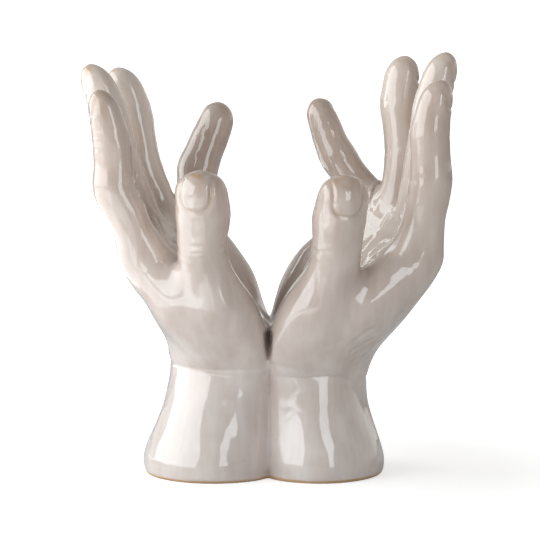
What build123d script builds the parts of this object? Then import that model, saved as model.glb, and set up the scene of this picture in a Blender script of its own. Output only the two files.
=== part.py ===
from build123d import *

# A pair of life-size cupped hands in glazed stoneware, standing on two forearm stubs.
# Each hand is a hollow palm with a thumb and four fingers cast apart and luted on, each
# keyed by a peg. A spigot under the palm sits in a hollow stub, with the joint at the wrist
# crease. The two hands are luted together at the wrists, and a plug with a vent hole closes
# each stub from below.
# Frame: X to the viewer's right, Y to the back (little fingers), Z up, in millimetres.
# The origin is on the floor, on the luted seam, in the middle of the two stubs.
# Each hand is modelled on the right of the seam, and the left one is then mirrored.

import os
from dataclasses import dataclass
from math import cos, pi, radians, sin

# Clay walls and the luted joints
WALL = 6.0
SEAM = 1.6
PEG_RADIUS = 3.5
PEG_LENGTH = 8.0
PEG_CLEARANCE = 0.2
PEG_BITE = 2.0
SLIP = 0.15
HOLLOW_SHARE = 0.75
SPIGOT_WALL = 3.0
SPIGOT_DEPTH = 8.0
SPIGOT_CLEARANCE = 0.2

# Plugs that close the stubs, each held up against a ledge as wide as the spigot's wall
PLUG_THICKNESS = 4.0
PLUG_RECESS = 1.5
PLUG_CLEARANCE = 0.3
VENT_RADIUS = 3.0

# Forearm stub
STUB_OVERLAP = 6.0
FOOT_WIDTH = 78.0
FOOT_ROLL = 8.0
FOOT_TUCK = 2.5
WRIST_WIDTH = 60.0
SHIN_SHARE = 0.6
SHIN_HOLLOW = 1.5

# Palm: how far its outlines turn to the front, and how far their sides curl round the hollow
PALM_TWIST = 20.0
THUMB_SIDE_ARCH = 3.0
ARCH_POWER = 1.3

# Fleshy mounds of the palm
THENAR_MIDDLE = (20.5, -27.0, 74.0)
THENAR_THICKNESS = 41.0
HYPOTHENAR_MIDDLE = (24.0, 21.0, 88.0)
HYPOTHENAR_THICKNESS = 40.0
MOUND_ROOT = 36.0
MOUND_ROOTS_APART = 24.0
WEB_ROOT = 36.0
WEB_BULGE = (1.0, -2.0, -1.0)
WEB_THICKNESS = 31.0
MOUND_SINK = 2.0

# Where the fingers stand on the knuckles
FINGER_SPACING = 19.7
KNUCKLE_RISE = 7.0

# Room for the cuts along the seam, larger than the whole
ROOM = 400.0

# How finely the outlines are drawn
RING_POINTS = 20
RING_STEP = 8.0
LIMB_STEP = 5.0
LOOK_AHEAD = 0.1
TIP_ANGLES = (25.0, 50.0, 70.0)
WAIST = 0.97


@dataclass(frozen=True)
class Outline:
    """A palm outline: its share of the way from the wrist to the knuckles, how far it is set in to the palm,
    its thickness from palm to back, its width from thumb side to little finger, and its roundness.
    """

    share: float
    set_in: float
    thickness: float
    width: float
    square: float


@dataclass(frozen=True)
class Digit:
    """A digit's sizes: the breadth and depth of its root, its bones, the breadths and depths of its joints
    and its tip, and the share of its last bone that the tip rounds off.
    """

    name: str
    root: tuple
    bones: tuple
    breadths: tuple
    depths: tuple
    tip_share: float


@dataclass(frozen=True)
class Bend:
    """A digit's pose: each bone's lean outwards from upright, its splay to the back, and its turn."""

    leans: tuple
    splay: float
    turn: float


@dataclass(frozen=True)
class Hand:
    """One hand's own reach and pose."""

    side: str
    foot_reach: float
    wrist_reach: float
    wrist_height: float
    palm_length: float
    palm_lean: float
    little_arch: float
    thumb_root: tuple
    bends: dict


PALM = (
    Outline(share=0.25, set_in=5.5, thickness=53.0, width=67.0, square=0.95),
    Outline(share=0.52, set_in=0.0, thickness=31.0, width=74.0, square=0.85),
    Outline(share=0.8, set_in=0.0, thickness=30.0, width=77.0, square=0.7),
    Outline(share=1.0, set_in=0.0, thickness=27.0, width=76.0, square=0.5),
)
THUMB = Digit(
    "thumb",
    root=(27.0, 25.0),
    bones=(19.0, 26.0),
    breadths=(26.5, 26.0, 22.5),
    depths=(24.5, 23.0, 18.0),
    tip_share=0.35,
)
INDEX = Digit(
    "index_finger",
    root=(18.8, 24.5),
    bones=(35.0, 25.0, 25.5),
    breadths=(18.4, 18.4, 17.0, 13.5),
    depths=(23.0, 21.0, 18.5, 13.5),
    tip_share=0.4,
)
MIDDLE = Digit(
    "middle_finger",
    root=(18.8, 26.0),
    bones=(41.0, 28.5, 26.5),
    breadths=(18.2, 18.2, 17.0, 14.0),
    depths=(23.0, 20.5, 18.0, 14.0),
    tip_share=0.4,
)
RING = Digit(
    "ring_finger",
    root=(18.6, 25.0),
    bones=(38.0, 25.5, 24.0),
    breadths=(18.0, 18.0, 17.0, 14.5),
    depths=(22.5, 19.5, 18.5, 14.5),
    tip_share=0.4,
)
LITTLE = Digit(
    "little_finger",
    root=(18.6, 22.0),
    bones=(26.0, 17.0, 18.0),
    breadths=(18.6, 19.5, 17.5, 14.0),
    depths=(21.0, 21.0, 18.0, 14.5),
    tip_share=0.45,
)
FINGERS = (INDEX, MIDDLE, RING, LITTLE)

RIGHT = Hand(
    side="right",
    foot_reach=60.0,
    wrist_reach=48.5,
    wrist_height=48.0,
    palm_length=81.0,
    palm_lean=35.0,
    little_arch=22.0,
    thumb_root=(30.5, -39.0, 104.0),
    bends={
        THUMB: Bend((5.0, 9.0), -14.0, -75.0),
        INDEX: Bend((5.0, -2.0, 11.0), -4.0, 0.0),
        MIDDLE: Bend((8.0, 6.0, 16.0), 0.0, 0.0),
        RING: Bend((5.0, -5.0, 6.0), 4.0, 0.0),
        LITTLE: Bend((-22.0, -28.0, -28.0), 8.0, 40.0),
    },
)
LEFT = Hand(
    side="left",
    foot_reach=63.5,
    wrist_reach=49.0,
    wrist_height=56.0,
    palm_length=64.5,
    palm_lean=30.0,
    little_arch=15.0,
    thumb_root=(30.5, -39.0, 106.0),
    bends={
        THUMB: Bend((2.0, 4.0), -14.0, -80.0),
        INDEX: Bend((24.0, 3.0, 13.0), -4.0, 0.0),
        MIDDLE: Bend((21.0, 12.0, 22.0), 0.0, 0.0),
        RING: Bend((19.0, 9.0, 20.0), 4.0, 0.0),
        LITTLE: Bend((-14.0, -18.0, -18.0), 8.0, 40.0),
    },
)


def smooth(stations, at):
    """Values at a place along a line of (place, values) stations, on a smooth curve through them."""
    index = 0
    while index < len(stations) - 2 and at > stations[index + 1][0]:
        index += 1

    def slope(i, k):
        low, high = max(i - 1, 0), min(i + 1, len(stations) - 1)
        run = stations[high][0] - stations[low][0]
        return (stations[high][1][k] - stations[low][1][k]) / run

    (start, first), (end, last) = stations[index], stations[index + 1]
    run = end - start
    t = (at - start) / run
    values = []
    for k in range(len(first)):
        a = first[k] * (2 * t**3 - 3 * t**2 + 1) + last[k] * (3 * t**2 - 2 * t**3)
        b = slope(index, k) * (t**3 - 2 * t**2 + t) + slope(index + 1, k) * (t**3 - t**2)
        values.append(a + b * run)
    return values


def evenly(start, end, step):
    """Places from a start to an end, about one step apart."""
    count = max(2, round((end - start) / step))
    return [start + (end - start) * i / count for i in range(count + 1)]


def rounded(angle, square):
    """The sine and cosine of an angle, filled out towards the corners of a square."""
    across, depth = sin(angle), cos(angle)
    return (
        abs(across) ** square * (1 if across > 0 else -1),
        abs(depth) ** square * (1 if depth > 0 else -1),
    )


@dataclass(frozen=True)
class Ring:
    """One outline of a hand body: where it is, how it is turned, its size and its roundness."""

    centre: Vector
    lean: float
    twist: float
    thickness: float
    width: float
    thumb_arch: float
    little_arch: float
    square: float

    @property
    def axis(self):
        """The way from the wrist to the fingers, square to the ring."""
        return Vector(sin(radians(self.lean)), 0, cos(radians(self.lean)))

    def point(self, across, depth):
        """The point so far across the ring and so far towards the back of the hand."""
        outwards = Vector(cos(radians(self.lean)), 0, -sin(radians(self.lean)))
        backwards = Vector(0, 1, 0)
        turn = radians(self.twist)
        dorsal = outwards * cos(turn) + backwards * sin(turn)
        ulnar = backwards * cos(turn) - outwards * sin(turn)
        arch = self.little_arch if across > 0 else self.thumb_arch
        curl = arch * abs(2 * across / self.width) ** ARCH_POWER
        return self.centre + ulnar * across + dorsal * (depth - curl)

    def wire(self, inset=0.0):
        """The ring's closed outline, set in by a wall where a hollow is wanted."""
        points = []
        for step in range(RING_POINTS):
            across, depth = rounded(2 * pi * step / RING_POINTS, self.square)
            points.append(self.point((self.width / 2 - inset) * across, (self.thickness / 2 - inset) * depth))
        return Wire([Edge.make_spline(points, periodic=True)])


@dataclass(frozen=True)
class Seat:
    """The flat joint that a digit stands on: its middle, and the way that it faces."""

    root: Vector
    way: Vector

    def peg(self, clearance=0.0):
        """The peg below the joint, or with a clearance its socket."""
        foot = self.root - self.way * (PEG_LENGTH + clearance)
        plane = Plane(foot, z_dir=self.way)
        return Solid.make_cylinder(PEG_RADIUS + clearance, PEG_LENGTH + PEG_BITE, plane)


def stub_key(height, reach, width):
    """A level key outline of the forearm stub, which passes the seam by the overlap."""
    return ((reach - STUB_OVERLAP) / 2, height, 0, 0, reach + STUB_OVERLAP, width, 0, 0, 1.0)


def palm_key(hand, outline):
    """A key outline of the palm, turned fully to its lean from halfway up."""
    lean = radians(hand.palm_lean)
    along = hand.palm_length * outline.share
    turned = min(1.0, 2 * outline.share)
    out = (hand.wrist_reach - STUB_OVERLAP) / 2 + along * sin(lean) - outline.set_in * cos(lean * turned)
    up = hand.wrist_height + along * cos(lean) + outline.set_in * sin(lean * turned)
    return (
        out,
        up,
        hand.palm_lean * turned,
        PALM_TWIST * turned,
        outline.thickness,
        outline.width,
        THUMB_SIDE_ARCH * turned,
        hand.little_arch * outline.share,
        outline.square,
    )


def body_stations(hand):
    """The key outlines of a hand body by their place along it, from its foot to its knuckles."""
    shin_height = SHIN_SHARE * hand.wrist_height
    shin_reach = (hand.foot_reach + hand.wrist_reach) / 2 - SHIN_HOLLOW
    shin_width = (FOOT_WIDTH + WRIST_WIDTH) / 2 - SHIN_HOLLOW
    keys = [
        (0.0, stub_key(0, hand.foot_reach - FOOT_TUCK, FOOT_WIDTH - 2 * FOOT_TUCK)),
        (FOOT_ROLL, stub_key(FOOT_ROLL, hand.foot_reach, FOOT_WIDTH)),
        (shin_height, stub_key(shin_height, shin_reach, shin_width)),
        (hand.wrist_height, stub_key(hand.wrist_height, hand.wrist_reach, WRIST_WIDTH)),
    ]
    for outline in PALM:
        keys.append((hand.wrist_height + outline.share * hand.palm_length, palm_key(hand, outline)))
    return keys


def ring_at(stations, at):
    """The outline at a place along a hand body."""
    out, up, *rest = smooth(stations, at)
    return Ring(Vector(out, 0, up), *rest)


def tube(stations, facing, start_way=None, end_way=None, cap=0.0):
    """A round limb along (place, (x, y, z, breadth, depth)) stations, with a rounded cap at its end."""

    def ellipse(at, way=None, share=1.0):
        x, y, z, breadth, depth = smooth(stations, at)
        if way is None:
            ahead = smooth(stations, at + LOOK_AHEAD)
            way = Vector(ahead[0] - x, ahead[1] - y, ahead[2] - z).normalized()
        plane = Plane(Vector(x, y, z), x_dir=facing - way * facing.dot(way), z_dir=way)
        return Wire([Edge.make_ellipse(share * depth / 2, share * breadth / 2, plane)])

    length = stations[-1][0]
    first, *between, last = evenly(0.0, length - cap, LIMB_STEP)
    wires = [ellipse(first, start_way)]
    wires += [ellipse(at) for at in between]
    wires.append(ellipse(last, end_way))
    if cap:
        for angle in TIP_ANGLES:
            place = length - cap * (1 - sin(radians(angle)))
            wires.append(ellipse(place, share=cos(radians(angle))))
        wires.append(Vertex(*stations[-1][1][:3]))
    return Solid.make_loft(wires)


def digit(size, seat, bend):
    """A digit from its luted joint, a film of slip above its seat, to its rounded tip."""
    splay = radians(bend.splay)
    facing = Vector(cos(radians(bend.turn)), sin(radians(bend.turn)), 0)
    root = seat.root + seat.way * SLIP
    stations = [(0.0, (*root, *size.root))]
    joint = root + seat.way * KNUCKLE_RISE
    along = KNUCKLE_RISE
    stations.append((along, (*joint, size.breadths[0], size.depths[0])))
    for i, (bone, lean) in enumerate(zip(size.bones, bend.leans)):
        way = Vector(sin(radians(lean)) * cos(splay), sin(splay), cos(radians(lean)) * cos(splay))
        waist = joint + way * (bone / 2)
        waist_breadth = WAIST * (size.breadths[i] + size.breadths[i + 1]) / 2
        waist_depth = WAIST * (size.depths[i] + size.depths[i + 1]) / 2
        if i < len(size.bones) - 1:
            stations.append((along + bone / 2, (*waist, waist_breadth, waist_depth)))
        joint = joint + way * bone
        along += bone
        stations.append((along, (*joint, size.breadths[i + 1], size.depths[i + 1])))
    return tube(stations, facing, start_way=seat.way, cap=size.tip_share * size.bones[-1])


def mound(points, sizes, end_way=None):
    """A fleshy mound of the palm along points, with its breadth and depth at each."""
    stations = []
    along = 0.0
    for i, (point, (breadth, depth)) in enumerate(zip(points, sizes)):
        if i:
            along += (point - points[i - 1]).length
        stations.append((along, (*point, breadth, depth)))
    return tube(stations, Vector(0, -1, 0), end_way=end_way)


def whole_body(hand):
    """A hand with its stub before it is cut and hollowed, and its digits' seats."""
    stations = body_stations(hand)
    rings = [ring_at(stations, at) for at in evenly(0.0, stations[-1][0], RING_STEP)]
    knuckles = rings[-1]
    slab = Solid.make_loft([ring.wire() for ring in rings])
    wrist = Vector((hand.wrist_reach - STUB_OVERLAP) / 2, 0, hand.wrist_height)
    side = Vector(0, MOUND_ROOTS_APART / 2, 0)
    thumb_root = Vector(*hand.thumb_root)
    thenar_middle = Vector(*THENAR_MIDDLE)
    thumb_seat = Seat(thumb_root, (thumb_root - thenar_middle).normalized())
    seats = {THUMB: thumb_seat}
    for place, finger in enumerate(FINGERS):
        across = (place - (len(FINGERS) - 1) / 2) * FINGER_SPACING
        seats[finger] = Seat(knuckles.point(across, 0), knuckles.axis)
    thenar = mound(
        (wrist - side, thenar_middle, thumb_root),
        ((MOUND_ROOT, MOUND_ROOT), (THENAR_THICKNESS, THENAR_THICKNESS), THUMB.root),
        thumb_seat.way,
    )
    little_seat = seats[LITTLE]
    hypothenar = mound(
        (wrist + side, Vector(*HYPOTHENAR_MIDDLE), little_seat.root - little_seat.way * MOUND_SINK),
        ((MOUND_ROOT, MOUND_ROOT), (HYPOTHENAR_THICKNESS, HYPOTHENAR_THICKNESS), LITTLE.root),
        little_seat.way,
    )
    index_seat = seats[INDEX]
    web_end = index_seat.root - index_seat.way * MOUND_SINK
    web = mound(
        (thenar_middle, (thenar_middle + web_end) / 2 + Vector(*WEB_BULGE), web_end),
        ((WEB_ROOT, WEB_ROOT), (WEB_THICKNESS, WEB_THICKNESS), INDEX.root),
        index_seat.way,
    )
    return slab + [thenar, hypothenar, web], seats


def hollow(hand, inset, low, high):
    """The inside of a hand between two places along it, set in from its outside and from the seam."""
    stations = body_stations(hand)
    core = Solid.make_loft([ring_at(stations, at).wire(inset) for at in evenly(low, high, RING_STEP)])
    return core & room(inset, -ROOM, ROOM)


def room(inset, low, high):
    """All the room on one side of the seam, set in from it, between two heights."""
    corner = Plane((SEAM / 2 + inset, -ROOM, low))
    return Solid.make_box(ROOM, 2 * ROOM, high - low, corner)


os.makedirs("parts", exist_ok=True)
made = {}
wholes = []
for hand in (RIGHT, LEFT):
    whole, seats = whole_body(hand)
    pieces = {}
    wrist = hand.wrist_height
    plug_top = PLUG_RECESS + PLUG_THICKNESS
    pocket = hollow(hand, WALL, 0.0, plug_top)
    socket_foot = wrist - SPIGOT_DEPTH - SPIGOT_CLEARANCE
    bore = hollow(hand, WALL + SPIGOT_WALL, plug_top, socket_foot)
    spigot_socket = hollow(hand, WALL, socket_foot, wrist)
    pieces["forearm_stub"] = (whole & room(0.0, 0.0, wrist)) - [pocket, bore, spigot_socket]
    spigot = hollow(hand, WALL + SPIGOT_CLEARANCE, wrist - SPIGOT_DEPTH, wrist + PEG_BITE)
    cavity_top = wrist + HOLLOW_SHARE * hand.palm_length
    cavity = hollow(hand, WALL + SPIGOT_WALL, wrist - SPIGOT_DEPTH, cavity_top)
    peg_sockets = [seat.peg(PEG_CLEARANCE) for seat in seats.values()]
    palm = (whole & room(0.0, wrist + SLIP, ROOM)) - peg_sockets
    pieces["palm"] = palm + spigot - cavity
    for size, seat in seats.items():
        limb = digit(size, seat, hand.bends[size])
        if size is THUMB:
            limb -= whole
        pieces[size.name] = limb + seat.peg()
    plug = hollow(hand, WALL + PLUG_CLEARANCE, PLUG_RECESS, plug_top)
    middle = plug.center()
    vent = Solid.make_cylinder(VENT_RADIUS, 2 * plug_top, Plane((middle.X, middle.Y, 0)))
    pieces["base_plug"] = plug - vent
    if hand is LEFT:
        whole = mirror(whole, Plane.YZ)
        pieces = {name: mirror(piece, Plane.YZ) for name, piece in pieces.items()}
    wholes.append(whole)
    for name, piece in pieces.items():
        made[f"{hand.side}_{name}"] = piece
luting = Solid.make_box(SEAM, 2 * ROOM, 2 * ROOM, Plane((-SEAM / 2, -ROOM, -ROOM)))
for whole in wholes:
    luting &= whole
made["wrist_luting"] = luting.solids().sort_by(SortBy.VOLUME)[-1]

for name, piece in made.items():
    export_step(piece, f"parts/{name}.step")
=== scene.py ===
import math

import bmesh
import bpy
import numpy as np
from mathutils import Matrix, Vector
from mathutils.bvhtree import BVHTree


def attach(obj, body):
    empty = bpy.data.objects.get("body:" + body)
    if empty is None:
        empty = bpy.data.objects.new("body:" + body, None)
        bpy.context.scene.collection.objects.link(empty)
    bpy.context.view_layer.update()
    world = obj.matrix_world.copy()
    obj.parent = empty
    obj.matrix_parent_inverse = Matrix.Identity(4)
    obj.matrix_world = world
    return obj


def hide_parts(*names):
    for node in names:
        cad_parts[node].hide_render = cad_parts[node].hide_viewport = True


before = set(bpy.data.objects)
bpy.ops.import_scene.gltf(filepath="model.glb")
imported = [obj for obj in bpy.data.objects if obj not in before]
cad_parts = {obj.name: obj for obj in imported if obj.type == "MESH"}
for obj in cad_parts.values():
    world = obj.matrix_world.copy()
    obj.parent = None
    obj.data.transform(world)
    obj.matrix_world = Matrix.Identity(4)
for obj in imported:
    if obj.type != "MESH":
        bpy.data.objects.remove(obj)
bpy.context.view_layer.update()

# A pair of life-size cupped hands in glazed stoneware, luted together at the wrists, on two stubs.
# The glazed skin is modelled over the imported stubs, palms, digits and luting as one soft form, with nails,
# creases and knuckles pressed into it, and is then cut into one closed glazed piece for each of these nodes.
# X is to the viewer's right, Y to the back and Z up. Sizes and places are in mm until a mesh is made.
# Where a form comes in or fades out gradually, a pair of values gives where that begins and ends.

MM = 0.001
SIDES = {"left": -1.0, "right": 1.0}

# How finely the clay is worked, how close doubles are, and how close to a cut a point counts as on it
CLAY_GRAIN = 0.7
SAME_POINT, ON_CUT = 0.005, 0.001

# How far the clay is smoothed in each place, in square mm, and how much fuller it is then worked
JOINT_SMOOTHING, JOINT_FILL = 40.0, 0.65
WRIST_SMOOTHING, WRIST_FILL = 130.0, 1.1
ROOT_SMOOTHING, ROOT_FILL = 190.0, 1.2
CUP_SMOOTHING = 180.0
DIGIT_SMOOTHING = 3.0
FOOT_FILL = 0.8

# The places that are smoothed and filled: up a digit, in height, out from the seam and to the back,
# and how squarely a face looks into the cup
FREE_DIGIT = (6.0, 26.0)
FOOT_HEIGHT, FLARE_HEIGHT = (1.0, 10.0), (6.0, 26.0)
ROOT_HEIGHT, ROOT_OUT, ROOT_BACK = (88.0, 102.0), (24.0, 38.0), (-40.0, -28.0)
CUP_HEIGHT, CUP_OUT, CUP_UP_DIGIT, CUP_FACING = (92.0, 102.0), (30.0, 42.0), (14.0, 34.0), (0.1, 0.5)
WRIST_BELOW_CREASE, WRIST_REACH = 1.0, 12.0

# The lids over the hollows, which make the clay form solid inside, and the covers over their vents
LID_RAISED = 4.6
VENT_COVER_RADIUS, VENT_COVER_DEPTH, VENT_COVER_HEIGHT = 9.0, 4.0, 8.5

# Balls of clay at the fingers' roots and between them, by height over the fingers' bases
ROOT_BALLS, ROOT_BALL_RADIUS = (-7.0, -2.0), 9.6
WEB_BALLS = ((-10.0, 8.5), (-5.0, 8.0), (0.0, 7.5), (5.0, 6.8))

# The luted seam: the slip that fills it, how much of it the smoothing spares, the height round which it is
# smoothed like the rest and its valley is deeper, the valley along it, and the pit at its top, under the V
LUTING_HALF = 0.8
FILLER_HALF, FILLER_BOTTOM, FILLER_TOP, FILLER_STEP = 3.0, 0.6, 74.0, 3.0
FILLER_DEPTH, FILLER_DEEPER_ABOVE, FILLER_NEAR, FILLER_BAND = 5.5, 4.0, 5.0, 3.5
SEAM_KEPT, SEAM_KEPT_AT_WRIST, SEAM_REACH, SEAM_TOP = 0.85, 0.9, 4.0, (66.0, 80.0)
SEAM_JOINT, SEAM_JOINT_REACH = 50.0, 7.0
VALLEY_DEPTH, VALLEY_DEEPER_AT_JOINT, VALLEY_HALF = 1.5, 0.8, 2.2
VALLEY_TOP, VALLEY_FACING = (58.0, 66.0), (0.1, 0.6)
PIT_DEPTH, PIT_HALF, PIT_SQUARENESS = 9.0, 1.9, 3
PIT_RISE, PIT_TOP, PIT_FRONT = (56.0, 72.0), (73.0, 77.0), -15.0

# Each digit: the way its nail faces on a right hand, the nail's breadth and length, its joints' distances
# from the tip, how much they swell, and how far up from its base its glazed piece is cut off. Then, for the
# left and the right hand, how much fuller it is worked and, as its coat, how much painted light lightens it,
# from 0 to 1.
DIGITS = {
    "thumb": {
        "dorsal": (0.27, -0.96, 0), "nail": (15.0, 15.5), "joints": (37.0,), "swell": 0.8, "cut": 4.0,
        "fill": (0.8, 0.8), "coat": (0.1, 0.1),
    },
    "index_finger": {
        "dorsal": (0.99, -0.12, 0), "nail": (10.5, 12.0), "joints": (25.5, 50.5), "swell": 0.25, "cut": 17.0,
        "fill": (0.1, 0.1), "coat": (0.1, 0.25),
    },
    "middle_finger": {
        "dorsal": (1.0, 0.0, 0), "nail": (10.8, 12.5), "joints": (26.5, 55.0), "swell": 0.25, "cut": 20.0,
        "fill": (0.1, 0.1), "coat": (0.8, 0.6),
    },
    "ring_finger": {
        "dorsal": (1.0, 0.0, 0), "nail": (10.5, 12.0), "joints": (24.0, 49.5), "swell": 0.4, "cut": 21.0,
        "fill": (0.1, 0.1), "coat": (1.0, 0.6),
    },
    "little_finger": {
        "dorsal": (0.77, 0.64, 0), "nail": (9.0, 10.0), "joints": (18.0, 35.0), "swell": 0.25, "cut": 14.0,
        "fill": (0.3, -0.9), "coat": (0.0, 0.0),
    },
}

# A digit's middle line: the peg and slanting joint below it, the step between its levels, how far above and
# below each level the digit is measured, where the line stops under the tip, the order of its curve, and the
# length over which its way is taken. A point is on the digit whose line is nearest, if it is in reach and not
# far below the digit's base, and what is on no digit gets a length far below 0. Only the faces in reach of
# the cut across a digit are scored.
PEG_DEPTH = 14.0
AXIS_STEP, AXIS_BAND, AXIS_UNDER_TIP, AXIS_ORDER, AXIS_SPAN = 1.5, 2.5, 2.0, 5, 4.0
DIGIT_REACH, DIGIT_ROOT = 15.5, 4.0
OFF_DIGITS = -99.0
RING_REACH = 4.0

# Nails: how far they are set back from the tip, how square their root is, which side they are on, where their
# sides begin to be set into the flesh, as shares of their length from the middle, the groove, fold and plate
# of a thumb's, which are less on the fingers, and the rims where the glaze breaks
NAIL_SET_BACK, NAIL_SQUARENESS, NAIL_SIDE = 1.2, 2.6, (0.5, 3.0)
ROOTED_FROM, ROOTED_AT = -0.5, -0.1
GROOVE_DEPTH, GROOVE_WIDTH = 0.5, 0.6
FOLD_HEIGHT, FOLD_OUT, FOLD_WIDTH = 0.4, 2.2, 1.3
PLATE_HEIGHT, PLATE_EDGE, PLATE_END = 0.35, (0.0, 1.4), 0.5
RIM_WIDTH, ROOT_RIM_SHARE, ROOT_RIM_OUT = 0.8, 0.6, 0.3

# The digits' joints, the wrinkles on their backs, the creases and pads on their insides, how far the fingers'
# tips lean to the nail's side, and where the glaze breaks on the tips
BACK_SIDE, PALM_SIDE = (1.0, 5.0), (-1.0, 4.0)
JOINT_WIDTH = 5.0
WRINKLES, WRINKLE_PITCH, WRINKLE_WIDTH, WRINKLE_SHARE, WRINKLE_BOW = 3, 3.4, 0.9, 0.18, 0.02
FLEXION_WIDTH, FLEXION_SHARE, FLEXION_BOW = 1.3, 0.35, 0.03
PAD_HEIGHT, PAD_WIDTH = 0.4, 5.5
TIP_LEAN, TIP_LENGTH = 0.8, 16.0
TIP_BREAK, TIP_BREAK_FROM, TIP_BREAK_WIDTH = 0.5, 1.5, 1.8

# How far the digits are set over from their packed places, the fingers by their place to the back,
# and how far the little fingers are bowed
SET_OVER_UP_DIGIT = (0.0, 30.0)
THUMBS_SET_OVER = {"left": 1.2, "right": 0.0}
FINGER_ROWS = (-32.0, -10.0, 10.0, 24.0)
FINGERS_SET_OVER = {"left": (2.4, 1.0, 0.0, -0.8), "right": (-0.6, -1.0, 0.0, -2.4)}
LITTLE_BOWED = {"left": -2.0, "right": -3.6}
LITTLE_BOW_FROM_TIP, LITTLE_BOW_REACH = 32.0, 13.0

# The slow unevenness of hand-worked clay: how high its waves are for their length, their lengths and a seed,
# and how much quieter they are up a digit. Over the lowest heights nothing is raised, so the foot stays flat.
WAVES = ((0.0075, (14, 18, 23, 29, 37, 47), 5), (0.0018, (6, 7, 8.5, 10), 8))
WAVES_QUIETED, WAVES_UP_DIGIT = 0.55, (5.0, 25.0)
FOOT_FLAT = (0.3, 4.0)

# Knuckles, placed from the fingers' bases, and the tendons from them to the wrist
KNUCKLE_PLACE, KNUCKLE_HEIGHT, KNUCKLE_WIDTH = (12.0, 0.0, -4.0), 0.9, 6.0
TENDON_HEIGHT, TENDON_WIDTH, TENDON_BOW = 0.6, 3.0, (2.0, 0.0, 0.0)
TENDON_END_OUT, TENDON_END_GATHERED, TENDON_END_HEIGHT = 47.0, 0.35, 62.0

# How far the sides of the knuckles and wrists are set in, and the fill at the heels of the palms
KNUCKLES_SET_IN = {"left": 1.8, "right": 3.0}
KNUCKLES_OUT, KNUCKLES_HEIGHT, KNUCKLES_REACH = (42.0, 62.0), 118.0, 16.0
WRISTS_SET_IN = {"left": 0.8, "right": 2.0}
WRIST_OUT, WRIST_SIDE_HEIGHT, WRIST_SIDE_REACH = (25.0, 45.0), 54.0, 9.0
STUB_SET_IN_SHARE, STUB_TOP = 0.4, (35.0, 50.0)
HEEL_FILL, HEEL_PLACE, HEEL_REACH = 2.0, (20.0, 12.0, 114.0), 9.0

# Each wrist's luted joint is at this height. The soft crease round the wrists, given as places across and up,
# lies near it, with a ledge over it. Its waves are given by their height and by how many mm a radian takes.
# The fronts of the wrists are set back round it, from a height for the left and one for the right.
WRIST_JOINT = {"left": 56.0, "right": 48.0}
WRIST_CREASE = ((-48.0, 56.5), (-3.0, 52.5), (3.0, 58.5), (47.0, 50.5))
WRIST_CREASE_DEPTH, WRIST_CREASE_WIDTH = 0.16, 1.5
CREASE_WAVE_ACROSS, CREASE_WAVE_BACK = (0.8, 11.0), (0.6, 7.0)
WRIST_LEDGE, LEDGE_RISE, LEDGE_FADE = 0.5, (-1.5, 2.5), (4.0, 18.0)
WRIST_SET_BACK, WRIST_SET_RUN, WRIST_SET_FADE = 9.0, 17.0, (58.0, 90.0)
WRIST_SET_FROM = (40.0, 36.0)
WRIST_SET_OUT, WRIST_SET_REACH, WRIST_SET_FACING = 22.0, 13.0, (0.0, 0.5)

# Creases seen from the front, each with its depth, as places across and up, and where they are cast from
CREASE_WIDTH = 0.9
CREASES = (
    (0.35, (-68, 153), (-66, 142), (-57, 131), (-53, 122), (-47, 119)),
    (0.25, (-64, 150), (-60, 138), (-52, 128), (-47, 124)),
    (0.25, (43, 72), (48, 76), (52, 78)),
    (0.25, (42, 66), (47, 69), (52, 72)),
    (0.25, (43, 60), (48, 62), (51, 65)),
)
IN_FRONT = -300.0

# The soft lips of a crease: how high for its depth, and how far out for its width
LIP_HEIGHT, LIP_OUT = 0.4, 2.6

# Where painted light lightens the inside of the cup, and how far a place stands out or in from its
# surroundings for the glaze to break there, or for painted shade to darken it
INNER_LIGHT_FACING, INNER_LIGHT_HEIGHT, INNER_LIGHT_OUT, INNER_LIGHT_UP_DIGIT = (0.1, 0.6), (82.0, 104.0), (22.0, 38.0), (0.0, 16.0)
RIDGE_REACH, THIN_RIDGE, THIN_RIDGE_SHARE, CREASE_SHADE_HOLLOW = 2.4, (0.35, 0.75), 0.6, (0.03, 0.3)

# The photograph's camera: its sensor, its focal length and the photograph's breadth in pixels, its tilt in
# degrees, what it looks at and from how far away
SENSOR, FOCAL_PIXELS, PHOTO_PIXELS = 36.0, 2761, 540
CAMERA_TILT, CAMERA_AIM, CAMERA_AWAY = 6.0, (0.75, 0.0, 103.0), 1400.0

# The studio's lamps: place, what each looks at, and its size, in metres, and its power in watts
LAMPS = {
    "left_wall": ((-1.05, -0.525, 0.4), (0, -0.525, 0.1), (2.35, 1.4), 26.5),
    "table_card": ((-0.21, -0.4, 0.004), (-0.21, -0.4, 1.0), (0.38, 0.36), 0.4),
    "left_card": ((-0.5, -0.05, 0.004), (-0.5, -0.05, 1.0), (0.6, 0.8), 1.9),
    "right_strip": ((0.6, -1.15, 0.35), (0, 0, 0.1), (0.42, 1.0), 3.6),
}
LAMP_COLOUR = (0.92, 0.97, 1.0)

# Half the floor's breadth, and how far the camera sees, in metres
FLOOR_HALF, SEEN_TO = 20.0, 50.0

# The inputs of a Map Range node, by number
VALUE, FROM_LOW, FROM_HIGH, TO_LOW, TO_HIGH = range(5)


def modelled(name, shape):
    """Turns a bmesh into an object of the scene."""
    mesh = bpy.data.meshes.new(name)
    shape.to_mesh(mesh)
    shape.free()
    piece = bpy.data.objects.new(name, mesh)
    bpy.context.scene.collection.objects.link(piece)
    return piece


def clay(name, *sources):
    """A loose object from copies of other meshes, with their doubles merged."""
    shape = bmesh.new()
    for source in sources:
        shape.from_mesh(source.data)
    bmesh.ops.remove_doubles(shape, verts=shape.verts, dist=SAME_POINT * MM)
    return modelled(name, shape)


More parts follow.
